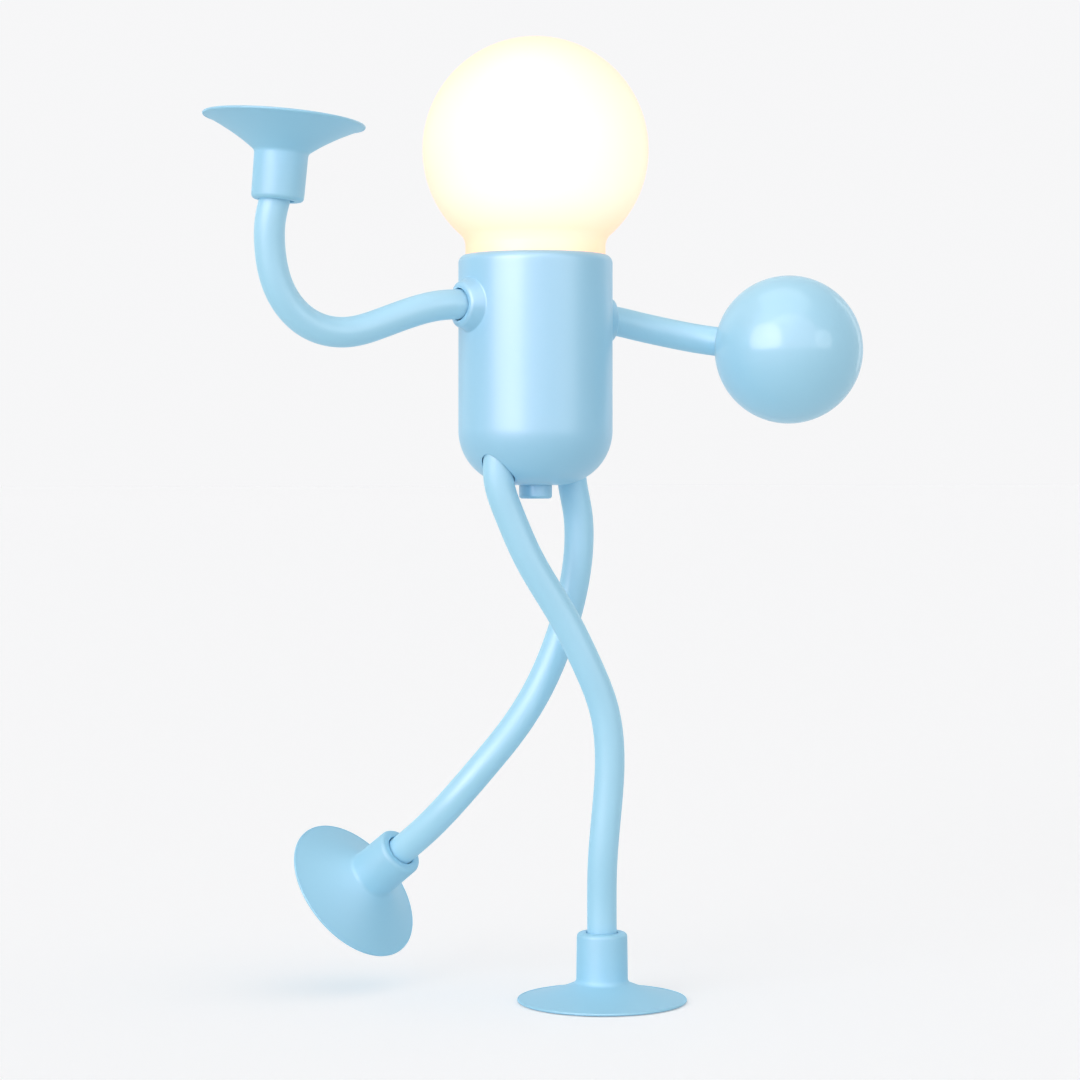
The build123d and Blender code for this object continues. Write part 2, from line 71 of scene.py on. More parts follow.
nodes = frame["nodes"]
joints = {joint["name"]: joint for joint in frame["joints"]}
# Middle of the standing foot on the floor
stand = np.array([19.6, -7.6, 0.0])

# Torso
torso_radius = 23.9
torso_bottom = 160.5
torso_top = 231.8
bottom_round = 17.0
rim_round = 2.6
torso_floor = 162.9
torso_inner = 21.5
rebate_inner = 22.1
ledge_height = 223.3
inner_round = 14.6
edge_round = 0.35

# Sockets
shoulder_height = 215.7
ball_arm_drop = 3.4
shoulder_start = 20.5
hip_x = 16.2
hip_y = 5.0
hip_start = 171.5
bore_radius = 5.0
boss_reach = 26.7
boss_height = 3.8
mouth_curve = 0.9
# Boss round a shoulder's hole, from the torso's skin over its mouth into the hole: radius, height, round
boss_outline = [
    (9.0, 0, 0),
    (8.4, 0, 0.4),
    (6.65, boss_height, 1.5),
    (bore_radius, boss_height, 0.15),
    (bore_radius, boss_height - 0.3, 0),
]
bush_radius = 5.6
bush_face = 1.8
bush_back = 11.1
inner_boss = 7.2
inner_boss_reach = (-6.0, 7.0)

# Rectangles of the torso's grid that are opened for its holes: half width in radians, then the reach
# along the outline in millimetres, or the two reaches where they differ
shoulder_room = (0.56, 12.5)
hip_room = (0.46, 7.2, 6.3)
slot_room = (0.34, 5.2)

# Steps round a quarter of a hole's soft edge, and down its wall
quarter = np.radians([22.5, 45, 67.5, 90])
wall_shares = (0.1, 0.4, 0.7, 1)

# Tube and wire
tube_radius = 4.6
wire_bore = 1.8
wire_radius = 1.5
wire_grip = 4.0

# Cups
cup_radius = 24.3
cup_height = 10.2
cup_hollow = 7.2
pressed_radius = 26.4
pressed_height = 6.2
pressed_hollow = 3.3
collar_radius = 7.85
collar_draft = 0.2
collar_length = 14.2
pressed_collar = 15.2
collar_hole = 9.1
plug_flange = 1.4
seat_gap = 0.1
pin_radius = 3.0
pin_length = 4.2
lip_round = 0.45
lip_thickness = 0.55
cone_sag = 0.55
collar_fillet = 1.8
collar_round = 1.35

# Ball
ball_radius = 23.3
ball_wall = 3.2
ball_hole = 8.6
ball_mouth = math.sqrt(ball_radius**2 - bore_radius**2)
ball_boss = 7.2

# Globe
globe_radius = 35.0
globe_centre = 264.3
globe_wall = 1.8
neck_radius = 21.7
neck_blend = 5.0
neck_low = 229.8
neck_edge = 0.2

# Button and charging slot
button_radius = 5.1
button_gap = 0.3
button_low = 156.3
button_round = 0.9
button_flange = 6.2
flange_low = 163.0
flange_high = 164.0
stem_radius = 2.0
stem_top = 170.7
slot_half_width = 4.9
slot_half_height = 2.0
slot_level = 190.0
slot_floor = 20.5
slot_wall_step = 22.0

# Springs: radius of the coil and of its wire, turns, end heights, the body that moves one end, and
# which end that is
springs = {
    "button_spring": (3.6, 0.3, 4, (164.05, 170.05), "button", 0),
    "contact_spring": (2.8, 0.25, 5, (213.25, 221.34), "contact", 1),
}

# Steps round the torso, the other turned pieces, a cutter, a sleeve, a wire and a spring's wire, and
# along one turn of a spring
skin_columns = 224
fine_around = 160
plain_around = 128
button_around = 96
coarse_around = 64
sleeve_sides = 48
wire_sides = 20
coil_sides = 12
coil_steps = 36


def metres(points):
    """Millimetres about the torso's axis to metres in the part's frame."""
    return (np.asarray(points, float) - stand) / 1000


def unit(vector):
    """One vector or several, each scaled to a length of 1."""
    vector = np.asarray(vector, float)
    return vector / np.linalg.norm(vector, axis=-1, keepdims=True)


def axes_on(origin, heading):
    """Origin and three axes at a right angle to each other, the third along the heading."""
    z = unit(heading)
    x = unit(np.cross([0, 0, 1] if abs(z[2]) < 0.9 else [0, 1, 0], z))
    return np.asarray(origin, float), x, np.cross(z, x), z


# Where each end piece sits: a cup's rim plane or the ball's centre, and its axis towards the limb
ends = {
    "cup_arm": axes_on((-83.0, 6.7, 269.4), (-0.080, 0.026, -0.996)),
    "ball_arm": axes_on((75.5, -29.1, 203.1), (-0.69, 0.72, 0.12)),
    "standing_leg": axes_on(stand, (0, 0, 1)),
    "raised_leg": axes_on((-34.2, 56.8, 30.2), (0.329, -0.732, 0.597)),
}
relaxed_seat = cup_height + collar_length - collar_hole + plug_flange + seat_gap
pressed_seat = pressed_height + pressed_collar - collar_hole + plug_flange + seat_gap
end_depths = {
    "cup_arm": relaxed_seat,
    "ball_arm": ball_mouth - ball_hole + plug_flange + seat_gap,
    "standing_leg": pressed_seat,
    "raised_leg": relaxed_seat,
}

# Where each limb leaves the torso, and the way it goes
sockets = {
    "cup_arm": ((-shoulder_start, 0, shoulder_height), (-1, 0, 0)),
    "ball_arm": ((shoulder_start, 0, shoulder_height - ball_arm_drop), (1, 0, 0)),
    "standing_leg": ((-hip_x, -hip_y, hip_start), (0, 0, -1)),
    "raised_leg": ((hip_x, hip_y, hip_start), (0, 0, -1)),
}

# Centre line of each limb between its socket and its end piece
bends = {
    "cup_arm": [
        (-27.0, 0.2, 215.7),
        (-34.0, 1.2, 215.1),
        (-42.0, 2.8, 213.0),
        (-52.0, 4.7, 209.3),
        (-62.0, 6.5, 206.6),
        (-73.5, 8.4, 208.7),
        (-82.5, 9.3, 217.5),
        (-86.6, 9.0, 231.5),
        (-86.8, 8.2, 239.5),
    ],
    "ball_arm": [
        (27.0, 0.0, 212.3),
        (36.6, -0.6, 210.8),
        (46.1, -3.4, 208.8),
        (54.7, -8.2, 206.9),
    ],
    "standing_leg": [
        (-16.1, -5.0, 162.0),
        (-13.0, -5.8, 152.0),
        (-6.7, -7.6, 137.6),
        (4.3, -10.4, 119.1),
        (11.2, -12.2, 105.2),
        (16.9, -13.0, 91.2),
        (19.1, -12.8, 77.0),
        (18.9, -11.5, 60.0),
        (18.5, -9.7, 44.0),
        (19.2, -8.1, 31.0),
    ],
    "raised_leg": [
        (16.4, 5.0, 162.0),
        (18.2, 4.8, 152.6),
        (18.6, 4.7, 140.0),
        (17.2, 5.8, 127.4),
        (13.0, 7.8, 111.0),
        (6.7, 9.9, 96.1),
        (-1.2, 12.1, 83.7),
        (-9.5, 15.2, 73.0),
        (-17.0, 21.0, 62.0),
        (-21.8, 29.0, 53.0),
    ],
}

# Each sleeve's spans in order: the bend where the span ends, and the joint that it bends with
spans = {
    "cup_arm": [
        ("shoulder_flex", 2, "cup_arm_shoulder_bend"),
        ("upper", 4, None),
        ("elbow_flex", 6, "cup_arm_elbow_bend"),
        ("fore", 7, None),
        ("wrist_flex", None, "cup_arm_wrist_bend"),
    ],
    "ball_arm": [
        ("shoulder_flex", 1, "ball_arm_shoulder_bend"),
        ("fore", 2, None),
        ("wrist_flex", None, "ball_arm_wrist_bend"),
    ],
    "standing_leg": [
        ("hip_flex", 2, "standing_leg_hip_bend"),
        ("thigh", 4, "standing_leg_hip_bend"),
        ("knee_flex", 6, "standing_leg_knee_bend"),
        ("shin", 8, None),
        ("ankle_flex", None, "standing_leg_ankle_bend"),
    ],
    "raised_leg": [
        ("hip_flex", 2, "raised_leg_hip_bend"),
        ("thigh", 4, "raised_leg_hip_bend"),
        ("knee_flex", 6, "raised_leg_knee_bend"),
        ("shin", 8, None),
        ("ankle_flex", None, "raised_leg_ankle_bend"),
    ],
}

# Half the length of tube that gives at each joint
give = {
    "cup_arm_shoulder_bend": 7.5,
    "cup_arm_elbow_bend": 14.0,
    "cup_arm_wrist_bend": 6.5,
    "ball_arm_shoulder_bend": 4.8,
    "ball_arm_wrist_bend": 6.5,
    "standing_leg_hip_bend": 11.0,
    "standing_leg_knee_bend": 12.5,
    "standing_leg_ankle_bend": 10.0,
    "raised_leg_hip_bend": 10.0,
    "raised_leg_knee_bend": 12.5,
    "raised_leg_ankle_bend": 9.0,
}

# Longest steps along a sleeve, along a wire, and where a place on the centre line is looked for
sleeve_step = 0.8
wire_step = 1.2
fine_step = 0.25

# Camera: level, this far from the torso's axis, looking along +y turned by view_turn towards +x
view_turn = math.radians(31)
view_depth = np.array([math.sin(view_turn), math.cos(view_turn), 0])
view_right = np.array([math.cos(view_turn), -math.sin(view_turn), 0])
view_distance = 889.0
eye_height = 163.3
focal_pixels = 2868.0
picture = 1080.0
horizon_row = 476.0
axis_column = 535.5
sensor = 36.0


def colour(code):
    """sRGB hex code to a linear colour with alpha."""
    parts = [int(code[k : k + 2], 16) / 255 for k in (1, 3, 5)]
    return (*[c / 12.92 if c <= 0.04045 else ((c + 0.055) / 1.055) ** 2.4 for c in parts], 1)


def add(tree, kind, inputs=None, **settings):
    """Adds one node. Inputs are values, or sockets to link from, by the input's name or number."""
    made = tree.nodes.new(kind)
    for key, value in settings.items():
        setattr(made, key, value)
    for key, value in (inputs or {}).items():
        if isinstance(value, bpy.types.NodeSocket):
            tree.links.new(value, made.inputs[key])
        else:
            made.inputs[key].default_value = value
    return made


def emptied(owner):
    """Node tree of a material or world, with nothing in it."""
    owner.use_nodes = True
    owner.node_tree.nodes.clear()
    return owner.node_tree


# Drift of a moulded surface: patches about 26 mm wide, in colour by 2 percent and in roughness by 0.03
patches_per_metre = 38.0
colour_drift = 0.02
roughness_drift = 0.03


def finish_of(name, base, grain, depth, roughness=0.4, **sockets_set):
    """Surface with a real texture: its grain in millimetres as bump of a depth in millimetres,
    a slow drift of the colour and of the roughness, and the rest on the shader's own sockets."""
    material = bpy.data.materials.new(name)
    tree = emptied(material)
    place = add(tree, "ShaderNodeTexCoord").outputs["Object"]
    grains = {"Vector": place, "Scale": 1000 / grain, "Detail": 3.0, "Roughness": 0.6}
    texture = add(tree, "ShaderNodeTexNoise", grains).outputs["Fac"]
    patches = {"Vector": place, "Scale": patches_per_metre, "Detail": 2.0}
    cloud = add(tree, "ShaderNodeTexNoise", patches).outputs["Fac"]
    dark = [c * (1 - colour_drift) for c in colour(base)[:3]] + [1]
    light = [min(1, c * (1 + colour_drift)) for c in colour(base)[:3]] + [1]
    tone = add(tree, "ShaderNodeMix", {"Factor": cloud, "A": dark, "B": light}, data_type="RGBA")
    low, high = roughness - roughness_drift, roughness + roughness_drift
    reach = {"Value": cloud, "From Min": 0.3, "From Max": 0.7, "To Min": low, "To Max": high}
    wear = add(tree, "ShaderNodeMapRange", reach)
    bump = add(tree, "ShaderNodeBump", {"Height": texture, "Distance": depth / 1000, "Strength": 1.0})
    shader = add(
        tree,
        "ShaderNodeBsdfPrincipled",
        {
            "Base Color": tone.outputs["Result"],
            "Roughness": wear.outputs["Result"],
            "Normal": bump.outputs["Normal"],
            **sockets_set,
        },
    )
    add(tree, "ShaderNodeOutputMaterial", {"Surface": shader.outputs["BSDF"]})
    return material


# ABS from a mould with a fine spark-eroded texture: a wide soft highlight under a weaker clear one
torso_abs = finish_of(
    "satin_moulded_abs",
    "#97D0EC",
    0.3,
    0.004,
    roughness=0.5,
    IOR=1.5,
    **{"Coat Weight": 0.35, "Coat Roughness": 0.28, "Coat IOR": 1.4},
)
# ABS from a polished mould: the same blue with a clear gloss
ball_abs = finish_of(
    "polished_abs_ball",
    "#A4DAF2",
    0.5,
    0.001,
    roughness=0.6,
    IOR=1.38,
    **{"Coat Weight": 0.5, "Coat Roughness": 0.12, "Coat IOR": 1.35},
)
# Silicone rubber from a matt mould: a wide, weak highlight
cup_silicone = finish_of("matt_silicone_cup", "#9DD6F0", 0.35, 0.004, roughness=0.52, IOR=1.41)
# Extruded silicone rubber: a shade lighter, and a little smoother where it left the die
tube_silicone = finish_of("extruded_silicone_tube", "#A9DFF7", 0.35, 0.003, roughness=0.46, IOR=1.41)
# Milky polycarbonate, lit from inside: the thin outer layer takes blue out of light that leaves aslant,
# so the sphere is white in its middle and cream towards its edge, and the neck is dimmer and warmer
neck_tone = (0.85, 0.78, 0.62, 1)
tone_heights = (0.230, 0.252)
globe_plastic = finish_of(
    "lit_opal_polycarbonate",
    "#CFCBC4",
    0.4,
    0.001,
    roughness=0.4,
    IOR=1.25,
    **{
        "Emission Strength": 1.2,
        "Coat Weight": 1.0,
        "Coat Roughness": 0.35,
        "Coat IOR": 1.15,
        "Coat Tint": (0.95, 0.74, 0.64, 1),
    },
)
tree = globe_plastic.node_tree
height = add(tree, "ShaderNodeSeparateXYZ", {0: add(tree, "ShaderNodeTexCoord").outputs["Object"]})
rise = add(
    tree,
    "ShaderNodeMapRange",
    {"Value": height.outputs["Z"], "From Min": tone_heights[0], "From Max": tone_heights[1]},
    interpolation_type="SMOOTHSTEP",
)
tones = {"Factor": rise.outputs["Result"], "A": neck_tone, "B": (1, 1, 1, 1)}
tint = add(tree, "ShaderNodeMix", tones, data_type="RGBA")
tree.links.new(tint.outputs["Result"], tree.nodes["Principled BSDF"].inputs["Emission Color"])
inner_abs = finish_of("plain_white_abs", "#E9EBEC", 0.4, 0.004, roughness=0.45)
plug_acetal = finish_of("turned_white_acetal", "#EDEEF0", 0.25, 0.003, roughness=0.38)
armature_wire = finish_of("annealed_aluminium_wire", "#D3D5D8", 0.2, 0.002, roughness=0.34, Metallic=1.0)
spring_steel = finish_of("zinc_plated_steel", "#C4C8CC", 0.15, 0.001, roughness=0.28, Metallic=1.0)
bush_brass = finish_of("turned_brass", "#D9B765", 0.15, 0.001, roughness=0.26, Metallic=1.0)
cell_wrap = finish_of("shrunk_pvc_wrap", "#3E9E6B", 0.8, 0.006, roughness=0.3)
board_mask = finish_of("green_solder_mask", "#1F6B45", 0.6, 0.004, roughness=0.28)
part_epoxy = finish_of("black_moulded_epoxy", "#1B1C1E", 0.2, 0.004, roughness=0.5)
led_mask = finish_of("white_solder_mask", "#F1F1EC", 0.5, 0.003, roughness=0.4)
led_phosphor = finish_of(
    "yellow_phosphor_gel",
    "#F2D24B",
    0.3,
    0.01,
    roughness=0.3,
    **{"Emission Color": colour("#FFF1C9"), "Emission Strength": 1.0},
)

finishes = {
    torso_abs: ["torso_shell", "button_cap"],
    ball_abs: ["ball_near_half", "ball_far_half"],
    cup_silicone: ["hand_cup", "raised_foot_cup", "standing_foot_cup"],
    globe_plastic: ["diffuser_globe"],
    inner_abs: ["socket_ring", "chassis", "bulb_base", "switch_body"],
    plug_acetal: [f"{limb}_{part}_plug" for limb in sockets for part in ("root", "end")],
    armature_wire: [f"{limb}_wire" for limb in sockets],
    spring_steel: ["ring_screws", "battery_contacts", "charging_inlet", "button_spring", "contact_spring"]
    + [f"{limb}_root_clip" for limb in sockets],
    bush_brass: ["shoulder_bushes", "hip_bushes", "contact_pin"],
    cell_wrap: ["battery_cell"],
    board_mask: ["driver_board"],
    part_epoxy: ["board_parts"],
    led_mask: ["led_board"],
    led_phosphor: ["led_chips"],
    tube_silicone: [f"{limb}_{span}" for limb in sockets for span, _, _ in spans[limb]],
}
for finish, names in finishes.items():
    for name in names:
        nodes[name].data.materials.clear()
        nodes[name].data.materials.append(finish)


def rounded(corners, longest=0.9, widest=math.radians(11)):
    """Outline through corners (radius, height, round): each round is the arc tangent to both of its
    lines. No step along the outline is longer than the one limit, or turns by more than the other."""
    corners = np.array(corners, float)
    points = []
    for k, (x, y, size) in enumerate(corners):
        corner = np.array([x, y])
        if size == 0:
            points.append(corner[None])
            continue
        back = unit(corners[k - 1, :2] - corner)
        ahead = unit(corners[k + 1, :2] - corner)
        half = math.acos(np.clip(back @ ahead, -1, 1)) / 2
        centre = corner + unit(back + ahead) * size / math.sin(half)
        first = corner + back * size / math.tan(half) - centre
        sweep = (math.pi - 2 * half) * np.sign(back[1] * ahead[0] - back[0] * ahead[1])
        count = max(math.ceil(abs(sweep) * size / longest), math.ceil(abs(sweep) / widest))
        angle = math.atan2(first[1], first[0]) + np.linspace(0, sweep, count + 1)
        points.append(centre + size * np.column_stack([np.cos(angle), np.sin(angle)]))
    points = np.vstack(points)
    shares = [np.linspace(0, 1, max(1, math.ceil(s / longest)), endpoint=False) for s in lengths(points)]
    steps = np.diff(points, axis=0)
    split = [point + share[:, None] * step for point, share, step in zip(points, shares, steps)]
    return np.vstack(split + [points[-1:]])


def lengths(points):
    """Distance from each point to the next."""
    return np.linalg.norm(np.diff(points, axis=0), axis=1)


def grid_faces(rows, columns, closed_rows=False):
    """Quads of a grid whose columns close on themselves, and its rows too where asked."""
    i = np.arange(rows if closed_rows else rows - 1)[:, None]
    j = np.arange(columns)[None]
    here, above = i * columns, (i + 1) % rows * columns
    beside = (j + 1) % columns
    quads = np.stack([here + j, here + beside, above + beside, above + j], -1)
    return quads.reshape(-1, 4)


def lathe(outline, axes, around, closed=False):
    """Surface of revolution: point(s, turn) = origin + r(s) (cos turn x + sin turn y) + h(s) z."""
    origin, x, y, z = axes
    turn = np.linspace(0, 2 * math.pi, around, endpoint=False)
    spoke = np.cos(turn)[:, None] * x + np.sin(turn)[:, None] * y
    points = origin + outline[:, 0, None, None] * spoke + outline[:, 1, None, None] * z
    return points.reshape(-1, 3), grid_faces(len(outline), around, closed)


def joined(*parts):
    """Several (points, faces) as one."""
    starts = np.cumsum([0] + [len(points) for points, _ in parts[:-1]])
    return (
        np.vstack([points for points, _ in parts]),
        np.vstack([faces + start for start, (_, faces) in zip(starts, parts)]),
    )


# How near two points count as one, in metres, and the angle from which an edge is shaded sharp
merge_distance = 2e-7
zero_length = 1e-8
sharp_angle = math.radians(32)


def mesh_of(name, points, faces, outward=False):
    """Mesh with its doubles merged, so that poles close, and turned outwards where asked."""
    mesh = bpy.data.meshes.new(name)
    mesh.from_pydata(metres(points).tolist(), [], faces.tolist())
    work = bmesh.new()
    work.from_mesh(mesh)
    bmesh.ops.remove_doubles(work, verts=work.verts, dist=merge_distance)
    bmesh.ops.dissolve_degenerate(work, edges=work.edges, dist=zero_length)
    if outward:
        bmesh.ops.recalc_face_normals(work, faces=work.faces)
    work.to_mesh(mesh)
    work.free()
    return mesh


def linked(name, data):
    """New object in the scene, at the origin."""
    made = bpy.data.objects.new(name, data)
    bpy.context.scene.collection.objects.link(made)
    return made


def piece(name, mesh, material):
    """Finished piece, smooth except along its sharp edges."""
    mesh.materials.clear()
    mesh.materials.append(material)
    mesh.shade_smooth()
    mesh.set_sharp_from_angle(angle=sharp_angle)
    made = linked(name, mesh)
    return made


upright = axes_on((0, 0, 0), (0, 0, 1))


# Torso: a skin of revolution with windows, each joined to its hole by rings in (turn, length) space
skin_outline = rounded(
    [
        (0, torso_floor + 1, 0),
        (button_radius + button_gap, torso_floor + 1, 0),
        (button_radius + button_gap, torso_bottom, 0.3),
        (torso_radius, torso_bottom, bottom_round),
        (torso_radius, torso_top, rim_round),
        (0, torso_top, 0),
    ],
    longest=0.8,
)
skin_lengths = np.concatenate([[0], np.cumsum(lengths(skin_outline))])
skin_turns = -math.pi / 2 + np.linspace(0, 2 * math.pi, skin_columns, endpoint=False)
skin_heights = skin_outline[:, 1]
bottom_start = int(np.argmax(skin_heights <= torso_bottom + 1e-6))
side_start = int(np.argmax(skin_heights > torso_bottom + bottom_round + 0.1))
bottom_part = slice(bottom_start, side_start)
side_part = slice(side_start, int(np.argmax(skin_heights > torso_top - rim_round)))


def on_skin(turn, length):
    """Point of the skin: the outline at that length, turned about the torso's axis."""
    radius = np.interp(length, skin_lengths, skin_outline[:, 0])
    height = np.interp(length, skin_lengths, skin_heights)
    return np.stack(np.broadcast_arrays(radius * np.cos(turn), radius * np.sin(turn), height), -1)


def side_length(level):
    """Length along the outline at a height on the torso's straight side."""
    return np.interp(level, skin_heights[side_part], skin_lengths[side_part])


def side_place(azimuth, level):
    """Local (across, up) on the torso's side to (turn, length) on the skin."""

    def place(across, up):
        return azimuth + np.arcsin(across / torso_radius), side_length(level + up)

    return place


def under_place(x, y):
    """Local (x, y) under the torso to (turn, length) on the skin."""

    def place(across, along):
        outline = skin_outline[bottom_part]
        radius = np.hypot(x + across, y + along)
        turn = np.arctan2(y + along, x + across)
        turn = np.where(turn < -math.pi / 2, turn + 2 * math.pi, turn)
        return turn, np.interp(radius, outline[:, 0], skin_lengths[bottom_part])

    return place


def window(place, local, limits, hole, rings=7):
    """Opens a rectangle of the skin's grid and fills it with rings from its border to the hole's edge."""
    turn_low, turn_high, length_low, length_high = limits
    j0, j1 = np.searchsorted(skin_turns, [turn_low, turn_high])
    i0, i1 = np.searchsorted(skin_lengths, [length_low, length_high])
    rows, columns = np.arange(i0, i1 + 1), np.arange(j0, j1 + 1)
    low_row, high_row = np.full(j1 - j0, i0), np.full(j1 - j0, i1)
    low_column, high_column = np.full(i1 - i0, j0), np.full(i1 - i0, j1)
    border_i = np.concatenate([low_row, rows[:-1], high_row, rows[:0:-1]])
    border_j = np.concatenate([columns[:-1], high_column, columns[:0:-1], low_column])
    turn, length = skin_turns[border_j], skin_lengths[border_i]
    across, up = local(on_skin(turn, length))
    angle = np.arctan2(up, across)
    edge = hole(angle)
    hole_turn, hole_length = place(edge * np.cos(angle), edge * np.sin(angle))
    share = np.linspace(0, 1, rings + 1)[:, None]
    patch = on_skin(turn + share * (hole_turn - turn), length + share * (hole_length - length))
    return (i0, i1, j0, j1), angle, patch


def ring_stack(patch, walls):
    """Rings of a window and of the hole's wall behind it, as one grid."""
    points = np.concatenate([patch, walls])
    return points.reshape(-1, 3), grid_faces(len(points), points.shape[1])


def shoulder_window(side, level):
    """Round hole in a short cone on the torso's side: ring(s, angle) stands between the skin below it and
    the mouth, which reaches further out above and below the hole, as the torso's own curve does."""
    azimuth = 0 if side > 0 else math.pi
    middle = side_length(level)
    width, reach = shoulder_room
    slope = rounded(boss_outline, longest=0.5)
    rectangle, angle, patch = window(
        side_place(azimuth, level),
        lambda p: (np.sin(np.arctan2(p[:, 1], p[:, 0]) - azimuth) * torso_radius, p[:, 2] - level),
        (azimuth - width, azimuth + width, middle - reach, middle + reach),
        lambda a: np.full_like(a, slope[0, 0]),
    )
    cos, sin = np.cos(angle), np.sin(angle)
    radius, share = slope[1:, 0, None], slope[1:, 1, None] / boss_height
    mouth = boss_reach + mouth_curve * sin**2
    out = np.sqrt(torso_radius**2 - (radius * cos) ** 2) * (1 - share) + mouth * share
    bush = shoulder_start - bush_face
    bore = out[-1] + (bush - out[-1]) * np.array([*wall_shares, 1])[:, None]
    radius = np.append(radius[:, 0], [bore_radius] * len(wall_shares) + [0])[:, None]
    out = np.concatenate([out, bore])
    heading = np.array([math.cos(azimuth), math.sin(azimuth), 0])
    aside = np.array([-math.sin(azimuth), math.cos(azimuth), 0])
    points = out[..., None] * heading + (radius * cos)[..., None] * aside
    points = points + (level + radius * sin)[..., None] * np.array([0, 0, 1])
    return rectangle, ring_stack(patch, points)


def hip_window(x, y):
    """Round hole straight up into the torso's bottom."""
    azimuth = math.atan2(y, x)
    azimuth += 2 * math.pi if azimuth < -math.pi / 2 else 0
    outline = skin_outline[bottom_part]
    width, inward, outward = hip_room
    distance = math.hypot(x, y)
    low, high = np.interp(
        [distance - inward, distance + outward], outline[:, 0], skin_lengths[bottom_part]
    )
    edge = bore_radius + edge_round
    rectangle, angle, patch = window(
        under_place(x, y),
        lambda p: (p[:, 0] - x, p[:, 1] - y),
        (azimuth - width, azimuth + width, low, high),
        lambda a: np.full_like(a, edge),
    )
    cos, sin = np.cos(angle), np.sin(angle)
    walls = []
    for lift in quarter:
        radius = edge - edge_round * math.sin(lift)
        from_axis = np.hypot(x + radius * cos, y + radius * sin)
        skin_height = np.interp(from_axis, outline[:, 0], outline[:, 1])
        walls.append((radius * cos, radius * sin, skin_height + edge_round * (1 - math.cos(lift))))
    top = hip_start + bush_face
    foot = walls[-1][2]
    for share in wall_shares:
        walls.append((bore_radius * cos, bore_radius * sin, foot + (top - foot) * share))
    walls.append((0 * cos, 0 * sin, 0 * cos + top))
    points = np.array(walls).transpose(0, 2, 1) + np.array([x, y, 0])
    return rectangle, ring_stack(patch, points)


def slot_window():
    """Long rounded slot in the torso's back for the charging inlet."""
    middle = side_length(slot_level)
    width, reach = slot_room
    back = math.pi / 2
    straight = slot_half_width - slot_half_height

    def edge(angle, grow):
        """Distance from the slot's middle to its edge: two straight sides and two round ends."""
        half = slot_half_height + grow
        flat = half / np.maximum(np.abs(np.sin(angle)), 1e-9)
        along = straight * np.abs(np.cos(angle))
        curved = along + np.sqrt(np.maximum(half**2 - (straight * np.sin(angle)) ** 2, 0))
        return np.where(flat * np.abs(np.cos(angle)) <= straight, flat, curved)

    rectangle, angle, patch = window(
        side_place(back, slot_level),
        lambda p: (-p[:, 0], p[:, 2] - slot_level),
        (back - width, back + width, middle - reach, middle + reach),
        lambda a: edge(a, edge_round),
    )
    walls = []
    for lift in quarter:
        radius = edge(angle, edge_round * (1 - math.sin(lift)))
        across = radius * np.cos(angle)
        depth = np.sqrt(torso_radius**2 - across**2) - edge_round * (1 - math.cos(lift))
        walls.append((across, depth, radius * np.sin(angle)))
    across, depth, up = walls[-1]
    walls += [(across, 0 * across + level, up) for level in (slot_wall_step, slot_floor)]
    walls.append((0 * across, 0 * across + slot_floor, 0 * up))
    across, depth, up = np.array(walls).transpose(1, 0, 2)
    points = np.stack([-across, depth, slot_level + up], -1)
    return rectangle, ring_stack(patch, points)


def skin():
    """The whole outer skin with blind holes, closed over the top."""
    points = on_skin(skin_turns[None], skin_lengths[:, None]).reshape(-1, 3)
    faces = grid_faces(len(skin_outline), skin_columns)
    row, column = np.divmod(np.arange(len(faces)), skin_columns)
    opened = [
        shoulder_window(-1, shoulder_height),
        shoulder_window(1, shoulder_height - ball_arm_drop),
        hip_window(-hip_x, -hip_y),
        hip_window(hip_x, hip_y),
        slot_window(),
    ]
    keep = np.ones(len(faces), bool)
    for (i0, i1, j0, j1), _ in opened:
        keep &= ~((row >= i0) & (row < i1) & (column >= j0) & (column < j1))
    return joined((points, faces[keep]), *[part for _, part in opened])


def carved(name, mesh, cutters):
    """The mesh with every cutter taken away, exactly."""
    base = linked(name, mesh)
    tools = []
    for k, cutter in enumerate(cutters):
        tool = linked(f"{name}_cutter_{k}", cutter)
        tools.append(tool)
        cut = base.modifiers.new(f"cut_{k}", "BOOLEAN")
        cut.object = tool
        cut.operation = "DIFFERENCE"
        cut.solver = "EXACT"
    bpy.context.view_layer.update()
    result = bpy.data.meshes.new_from_object(base.evaluated_get(bpy.context.evaluated_depsgraph_get()))
    for made in [base] + tools:
        bpy.data.objects.remove(made)
    return result


def drum(limb, radius, low, high):
    """Round cutter on a socket's axis, between two depths into the torso."""
    outline = np.array([(0, -high), (radius, -high), (radius, -low), (0, -low)], float)
    return mesh_of("drum", *lathe(outline, axes_on(*sockets[limb]), coarse_around))


cavity_outline = rounded(
    [
        (0, torso_floor, 0),
        (torso_inner, torso_floor, inner_round),
        (torso_inner, ledge_height, 0),
        (rebate_inner, ledge_height, 0),
        (rebate_inner, torso_top + 1, 0),
        (0, torso_top + 1, 0),
    ],
    longest=3,
)
cavity = mesh_of("cavity", *lathe(cavity_outline, upright, plain_around))
cavity = carved("cavity", cavity, [drum(limb, inner_boss, *inner_boss_reach) for limb in sockets])
torso_mesh = carved(
    "torso",
    mesh_of("skin", *skin(), outward=True),
    [cavity] + [drum(limb, bush_radius, bush_face, bush_back) for limb in sockets],
)
torso = piece("torso_body", torso_mesh, torso_abs)
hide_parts("torso_shell")
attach(torso, "torso")

